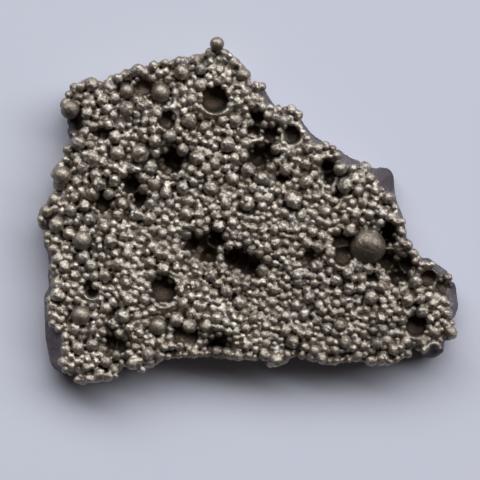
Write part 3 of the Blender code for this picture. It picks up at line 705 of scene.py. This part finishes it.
def grownChip():
    mesh, placed, outline, bare = grownMesh()
    piece = bpy.data.objects.new("nodularChip", mesh)
    bpy.context.scene.collection.objects.link(piece)
    grown = piece.modifiers.new("grownTogether", "REMESH")
    grown.mode = "VOXEL"
    grown.voxel_size = chip["voxel"] * mm
    applied(piece)
    faces = len(piece.data.polygons)
    print("grown together:", faces, "faces")
    fused = piece.modifiers.new("fused", "SMOOTH")
    fused.factor = 0.5
    fused.iterations = chip["fuseRounds"]
    lighter = piece.modifiers.new("lighter", "DECIMATE")
    wanted = chip["triangles"]
    lighter.ratio = min(1.0, wanted / (2 * faces))
    applied(piece)
    dropLooseBits(piece.data)
    print("lightened:", len(piece.data.polygons), "faces")
    return piece, placed, outline, bare


# How the skin is sorted into finishes and shades.
sorting = {
    "nearRounds": 6,          # smoothing rounds that show creases
    "wideRounds": 50,         # and those that show hollows
    "bowlShare": 0.5,         # how much of a bowl's depth gets no painted shade
    "stainAndShadeEdge": 4,           # how sharply a darker place ends
    "neighbours": 5,
    "seed": 3,
    "dullFrom": 0.25,         # mm of radius at which nodules stop varying
    "dullOver": 0.3,          # mm more until they are at their dullest
    "dullest": -0.7,
    "onNodule": 0.06,         # mm from a ball that still belongs to it
    "betweenFlank": 0.3,      # slope given to the ground between nodules
    "sideBand": 0.3,          # mm, least width of the broken side
    "backFacing": -0.95,
    "backHeight": 0.06,       # mm
}


def smoothed(points, edges, rounds):
    ends = np.concatenate([edges[:, 0], edges[:, 1]])
    others = np.concatenate([edges[:, 1], edges[:, 0]])
    count = np.bincount(ends, minlength=len(points))[:, None]
    for _ in range(rounds):
        sums = [np.bincount(ends, points[others, k], len(points)) for k in range(3)]
        points = np.column_stack(sums) / count
    return points


def keep(mesh, name, values):
    mesh.attributes.new(name, "FLOAT", "POINT").data.foreach_set("value", values.astype(np.float32))


def surfaceKinds(piece, placed, outline, bare):
    # hollows, shades and the kind of surface, kept on the mesh for the finishes
    mesh = piece.data
    points = np.empty(3 * len(mesh.vertices))
    mesh.vertices.foreach_get("co", points)
    points = points.reshape(-1, 3) / mm
    normals = np.empty(3 * len(points))
    mesh.vertex_normals.foreach_get("vector", normals)
    normals = normals.reshape(-1, 3)
    edges = np.empty(2 * len(mesh.edges), int)
    mesh.edges.foreach_get("vertices", edges)
    edges = edges.reshape(-1, 2)
    near = smoothed(points, edges, sorting["nearRounds"])
    wide = smoothed(near, edges, sorting["wideRounds"])
    # creases, darkened later: partly dark oxide, partly painted shade
    keep(mesh, "crevice", ((near - points) * normals).sum(axis=1))
    facing = smoothed(normals, edges, sorting["wideRounds"])
    facing /= np.linalg.norm(facing, axis=1)[:, None]
    # hollows below the mean level, darkened later: partly oxide, partly painted shade where neighbours shadow
    # the ground
    keep(mesh, "low", ((wide - points) * facing).sum(axis=1))
    away, nearest = edgeDistance(points[:, :2], outline)
    # depth below the crust, which paints shade into holes and bowls
    depth = crustLevel(points[:, :2]) - sorting["bowlShare"] * bowlDepth(points[:, :2]) - points[:, 2]
    keep(mesh, "depth", depth * np.clip(away / chip["paintedShadeMargin"] - 1, 0, 1))    # the sides get no painted shade

    stainAndShadeAmount = np.zeros(len(points))
    # the marked darker places: stains, and painted shade and shadow
    for x, y, reach, strength in onPlate(stainAndShadeSurvey):
        apart = np.hypot(points[:, 0] - x, points[:, 1] - y) / (reach * chip["step"])
        stainAndShadeAmount = np.maximum(stainAndShadeAmount, strength * np.exp(-apart ** sorting["stainAndShadeEdge"]))
    keep(mesh, "stainAndShade", stainAndShadeAmount)

    tree = KDTree(len(placed))
    for i, (x, y, z, _, _) in enumerate(placed):
        tree.insert((x, y, z), i)
    tree.balance()
    rng = np.random.default_rng(sorting["seed"])
    small = 1 - (placed[:, 3] - sorting["dullFrom"]) / sorting["dullOver"]
    small = np.clip(small, sorting["dullest"], 1)               # the large ones are duller
    shades = np.where(small > 0, rng.uniform(0, 1, len(placed)) * small, small)
    owner = np.zeros(len(points), int)
    gap = np.full(len(points), 9.0)
    for i, point in enumerate(points):
        for _, j, apart in tree.find_n(point, sorting["neighbours"]):
            if apart - placed[j][3] < gap[i]:
                gap[i] = apart - placed[j][3]
                owner[i] = j
    keep(mesh, "shade", shades[owner])
    outward = points - placed[owner, :3]
    outward /= np.linalg.norm(outward, axis=1)[:, None]
    onNodule = gap < sorting["onNodule"]
    # how far down its side a point lies, for the brown oxide and painted shade on nodule sides
    keep(mesh, "flank", np.where(onNodule, 1 - (outward * facing).sum(axis=1), sorting["betweenFlank"]))

    broken = (gap > sorting["onNodule"]) & (away < np.maximum(bare[nearest], sorting["sideBand"]))
    faceNormals, faceCentres = np.empty(3 * len(mesh.polygons)), np.empty(3 * len(mesh.polygons))
    mesh.polygons.foreach_get("normal", faceNormals)
    mesh.polygons.foreach_get("center", faceCentres)
    back = (faceNormals[2::3] < sorting["backFacing"]) & (faceCentres[2::3] < sorting["backHeight"] * mm)
    first = np.empty(len(mesh.polygons), int)
    mesh.polygons.foreach_get("loop_start", first)
    corners = np.empty(len(mesh.loops), int)
    mesh.loops.foreach_get("vertex_index", corners)
    kinds = np.where(back, 2, np.where(broken[corners[first]], 1, 0))
    mesh.polygons.foreach_set("material_index", kinds.astype(np.int32))
    mesh.polygons.foreach_set("use_smooth", ~back)               # the back is flat
    print("surface:", [int((kinds == k).sum()) for k in range(3)], "faces of crust, broken side and back")


# Finishes. Sizes are in mm.
noiseRange = (0.3, 0.7)       # most of a noise texture's values lie here
crustFinish = {
    "metal": (0.31, 0.27, 0.225),
    "brightMetal": (0.67, 0.64, 0.595),
    # brown oxide, also the painted shade down each nodule's sides
    "tarnishAndShade": (0.15, 0.107, 0.068),
    # dark oxide and soiling, also used as the painted shade of creases, hollows, holes and bowls
    "grimeAndShade": (0.07, 0.053, 0.041),
    # where the darkening of a crease, oxide and painted shade, begins and is full
    "creviceStart": 0.01,     # mm below the smoothed surface
    "creviceEnd": 0.08,
    # where the darkening of the hollows, oxide and painted shade, begins and is full
    "lowStart": 0.0,          # mm below the mean level around
    "lowEnd": 0.28,
    "flankStart": 0.12,       # from 0 on a nodule's top to 1 at its widest
    "flankEnd": 0.45,
    "flankTarnishAndShade": 0.3,
    "dullness": 0.3,          # of the largest nodules
    "mottleSize": 0.13,
    "mottleTint": (-0.4, 0.5),
    "shadeTint": 0.6,         # how much brighter the brightest small nodule is
    "patchSize": 0.45,
    "patchDirt": (-0.12, 0.16),
    # how much the marked places darken, stains and painted shade together
    "stainAndShadeWeight": 0.8,
    # mm below the crust where the painted shade of holes and bowls begins and is full
    "depthStart": 0.12,
    "depthEnd": 0.62,
    "roughness": (0.5, 0.6),
    "knobSize": 0.2,
    "knobReach": 0.8,
    "knobSoftness": 0.6,
    "knobHeight": 0.024,
    "frostSize": 0.08,
    "frostHeight": 0.016,
}
brokenFinish = {
    "light": (0.29, 0.26, 0.285),
    "dark": (0.13, 0.115, 0.127),
    "edgeTint": (0.5, 0.48, 0.5, 1),
    "grainSize": 0.16,
    "grainHeight": 0.03,
    "cloudSize": 0.9,
    "mix": (0.7, 1.3),        # from dark to light, of grain and cloud together
    "fluteSize": 0.12,
    "fluteStretch": 0.18,
    "fluteHeight": 0.03,
    "roughness": (0.62, 0.8),
}
backFinish = {
    "light": (0.42, 0.39, 0.36),
    "dark": (0.25, 0.225, 0.205),
    "blotchSize": 2.5,
    "brushLength": 6.0,
    "brushWidth": 0.05,
    "brushHeight": 0.006,
    "brushTone": (-0.15, 0.15),
    "pitSize": 0.25,
    "pitHeight": 0.01,
    "roughness": (0.42, 0.6),
}


class Finish:
    # one metal and the short calls that wire its nodes
    def __init__(self, name):
        self.material = bpy.data.materials.new(name)
        self.material.use_nodes = True
        self.nodes = self.material.node_tree.nodes
        self.links = self.material.node_tree.links
        self.surface = self.nodes["Principled BSDF"]
        self.surface.inputs["Metallic"].default_value = 1
        self.place = self.nodes.new("ShaderNodeTexCoord").outputs["Object"]

    def node(self, kind, values=None, **settings):
        made = self.nodes.new(kind)
        for key, value in settings.items():
            setattr(made, key, value)
        for key, value in (values or {}).items():
            if isinstance(value, bpy.types.NodeSocket):
                self.links.new(value, made.inputs[key])
            else:
                made.inputs[key].default_value = value
        return made

    def noise(self, size, detail=2.0, place=None):
        values = {"Vector": place or self.place, "Scale": 1 / (size * mm), "Detail": detail}
        return self.node("ShaderNodeTexNoise", values).outputs[0]

    def range(self, value, low, high, toLow=0.0, toHigh=1.0):
        values = {"Value": value, "From Min": low, "From Max": high, "To Min": toLow, "To Max": toHigh}
        return self.node("ShaderNodeMapRange", values).outputs["Result"]

    def attribute(self, name):
        return self.node("ShaderNodeAttribute", attribute_name=name).outputs["Fac"]

    def math(self, operation, a, b):
        return self.node("ShaderNodeMath", {0: a, 1: b}, operation=operation).outputs[0]

    def blend(self, share, a, b):
        values = {0: share, 6: a, 7: b}
        return self.node("ShaderNodeMix", values, data_type="RGBA").outputs[2]

    def bump(self, height, distance, under=None):
        values = {"Height": height, "Distance": distance * mm}
        if under:
            values["Normal"] = under
        return self.node("ShaderNodeBump", values).outputs["Normal"]

    def finish(self, colour, roughness, normal):
        self.links.new(colour, self.surface.inputs["Base Color"])
        self.links.new(roughness, self.surface.inputs["Roughness"])
        self.links.new(normal, self.surface.inputs["Normal"])
        return self.material


def rgba(colour):
    return (*colour, 1)


def noduleMetal():
    look = crustFinish
    metal = Finish("noduleMetal")
    # crease darkening: dark oxide and painted shade
    crevice = metal.range(metal.attribute("crevice"), look["creviceStart"], look["creviceEnd"])
    low = metal.range(metal.attribute("low"), look["lowStart"], look["lowEnd"])
    patch = metal.noise(look["patchSize"], 3)
    # painted shade in holes and bowls
    deep = metal.range(metal.attribute("depth"), look["depthStart"], look["depthEnd"])
    # each nodule darker towards its widest: brown oxide and painted shade
    slope = metal.attribute("flank")
    flank = metal.range(slope, look["flankStart"], look["flankEnd"], 0, look["flankTarnishAndShade"])
    shade = metal.attribute("shade")
    # darker in creases and hollows (oxide and painted shade), in holes and bowls (painted shade), on the
    # marked places, on the large nodules and in random patches
    dirtAndShade = metal.math("MAXIMUM", metal.math("MAXIMUM", crevice, low), deep)
    dirtAndShade = metal.math("ADD", dirtAndShade, metal.math("MULTIPLY", metal.attribute("stainAndShade"), look["stainAndShadeWeight"]))
    dirtAndShade = metal.math("ADD", dirtAndShade, metal.range(shade, -1, 0, look["dullness"], 0))
    dirtAndShade = metal.math("ADD", dirtAndShade, metal.range(patch, *noiseRange, *look["patchDirt"]))
    tint = metal.math("ADD", metal.range(shade, 0, 1, 0, look["shadeTint"]),
                      metal.range(metal.noise(look["mottleSize"], 2), *noiseRange, *look["mottleTint"]))
    clean = metal.blend(tint, rgba(look["metal"]), rgba(look["brightMetal"]))
    colour = metal.blend(flank, clean, rgba(look["tarnishAndShade"]))
    colour = metal.blend(dirtAndShade, colour, rgba(look["grimeAndShade"]))
    scale = 1 / (look["knobSize"] * mm)
    values = {"Vector": metal.place, "Scale": scale, "Smoothness": look["knobSoftness"]}
    knobs = metal.node("ShaderNodeTexVoronoi", values, feature="SMOOTH_F1").outputs["Distance"]
    knobs = metal.range(knobs, 0, look["knobReach"], 1, 0)
    normal = metal.bump(knobs, look["knobHeight"])
    normal = metal.bump(metal.noise(look["frostSize"], 3), look["frostHeight"], normal)
    roughness = metal.range(patch, *noiseRange, *look["roughness"])
    return metal.finish(colour, roughness, normal)


def brokenMetal():
    look = brokenFinish
    metal = Finish("brokenMetal")
    metal.surface.inputs["Specular Tint"].default_value = look["edgeTint"]
    grainy = metal.noise(look["grainSize"], 4)
    cloud = metal.noise(look["cloudSize"], 3)
    share = metal.range(metal.math("ADD", grainy, cloud), *look["mix"])
    # the marked places are darker here too: stains, and painted shade
    share = metal.math("SUBTRACT", share, metal.attribute("stainAndShade"))
    colour = metal.blend(share, rgba(look["dark"]), rgba(look["light"]))
    upright = {"Vector": metal.place, "Scale": (1, 1, look["fluteStretch"])}
    stretched = metal.node("ShaderNodeMapping", upright).outputs["Vector"]
    flutes = metal.noise(look["fluteSize"], 3, stretched)
    normal = metal.bump(flutes, look["fluteHeight"])
    normal = metal.bump(grainy, look["grainHeight"], normal)
    return metal.finish(colour, metal.range(cloud, *noiseRange, *look["roughness"]), normal)


def backMetal():
    look = backFinish
    metal = Finish("backMetal")
    blotch = metal.noise(look["blotchSize"], 4)
    stretch = (look["brushWidth"] / look["brushLength"], 1, 1)
    along = metal.node("ShaderNodeMapping", {"Vector": metal.place, "Scale": stretch}).outputs["Vector"]
    brushed = metal.noise(look["brushWidth"], 3, along)
    tone = metal.range(brushed, *noiseRange, *look["brushTone"])
    share = metal.range(metal.math("ADD", blotch, tone), *noiseRange)
    colour = metal.blend(share, rgba(look["dark"]), rgba(look["light"]))
    normal = metal.bump(brushed, look["brushHeight"])
    normal = metal.bump(metal.noise(look["pitSize"], 3), look["pitHeight"], normal)
    return metal.finish(colour, metal.range(blotch, *noiseRange, *look["roughness"]), normal)


piece, placed, outline, bare = grownChip()
surfaceKinds(piece, placed, outline, bare)
mesh = piece.data
for metal in (noduleMetal(), brokenMetal(), backMetal()):
    mesh.materials.append(metal)
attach(piece, "root")
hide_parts("cobalt_chip")
finishOf = np.empty(len(mesh.polygons), int)
mesh.polygons.foreach_get("material_index", finishOf)
count = np.bincount(finishOf, minlength=len(mesh.materials)).tolist()
print("finishes:", dict(zip(mesh.materials.keys(), count)), "faces each")

# floor
paperSheet = {
    "halfSide": 2.5,          # m
    "colour": (0.545, 0.568, 0.665, 1),
    "roughness": 0.9,
}
shape = bmesh.new()
bmesh.ops.create_grid(shape, x_segments=4, y_segments=4, size=paperSheet["halfSide"])
floorMesh = bpy.data.meshes.new("paperFloor")
shape.to_mesh(floorMesh)
shape.free()
floor = bpy.data.objects.new("paperFloor", floorMesh)
bpy.context.scene.collection.objects.link(floor)
paper = bpy.data.materials.new("paper")
paper.use_nodes = True
paperSurface = paper.node_tree.nodes["Principled BSDF"]
paperSurface.inputs["Base Color"].default_value = paperSheet["colour"]
paperSurface.inputs["Roughness"].default_value = paperSheet["roughness"]
floorMesh.materials.append(paper)
print("floor laid")

# light: one broad window
studio = {
    "distance": 1.5,          # m
    "azimuth": 18,            # degrees clockwise from straight behind the chip
    "elevation": 44,
    "halfWidth": 56,          # degrees, seen from the chip
    "halfHeight": 15,
    "energy": 64,
    "room": (0.05, 0.043, 0.04),   # overhead and behind
    "nearSide": (0.032, 0.025, 0.022),
    "fade": (-0.9, 0.3),      # from the near side to the room, -1 to 1
}
lamp = bpy.data.lights.new("window", "AREA")
lamp.shape = "RECTANGLE"
lamp.size = 2 * studio["distance"] * math.tan(math.radians(studio["halfWidth"]))
lamp.size_y = 2 * studio["distance"] * math.tan(math.radians(studio["halfHeight"]))
lamp.energy = studio["energy"]
window = bpy.data.objects.new("window", lamp)
turn, lift = math.radians(studio["azimuth"]), math.radians(studio["elevation"])
direction = Vector((math.sin(turn) * math.cos(lift), math.cos(turn) * math.cos(lift), math.sin(lift)))
window.location = direction * studio["distance"]
window.rotation_euler = direction.to_track_quat("Z", "Y").to_euler()
bpy.context.scene.collection.objects.link(window)
world = bpy.data.worlds.new("room")
world.use_nodes = True
roomNodes = world.node_tree.nodes
seen = roomNodes.new("ShaderNodeSeparateXYZ")
fall = roomNodes.new("ShaderNodeMapRange")
fade = roomNodes.new("ShaderNodeMix")
fade.data_type = "RGBA"
fall.inputs["From Min"].default_value, fall.inputs["From Max"].default_value = studio["fade"]
fade.inputs[6].default_value = rgba(studio["nearSide"])
fade.inputs[7].default_value = rgba(studio["room"])
world.node_tree.links.new(roomNodes.new("ShaderNodeTexCoord").outputs["Generated"], seen.inputs[0])
world.node_tree.links.new(seen.outputs["Y"], fall.inputs["Value"])
world.node_tree.links.new(fall.outputs["Result"], fade.inputs[0])
world.node_tree.links.new(fade.outputs[2], roomNodes["Background"].inputs["Color"])
bpy.context.scene.world = world
bpy.context.scene.view_settings.view_transform = "Standard"
print("window and room lit")

# camera, straight above
view = {
    "height": 0.2,            # m above the crust
    "aim": (240, 240),        # survey steps
    "frame": 480,             # survey steps across the picture
    "sensor": 36,             # mm
    "clipStart": 0.01,
}
lens = bpy.data.cameras.new("camera")
camera = bpy.data.objects.new("camera", lens)
bpy.context.scene.collection.objects.link(camera)
lens.sensor_width = view["sensor"]
lens.lens = view["sensor"] * view["height"] / (view["frame"] * chip["step"] * mm)
aim = toPlate([view["aim"]])[0] * mm
camera.location = (aim[0], aim[1], view["height"] + chip["plateThickness"] * mm)
lens.clip_start = view["clipStart"]
bpy.context.scene.camera = camera
print("camera set")
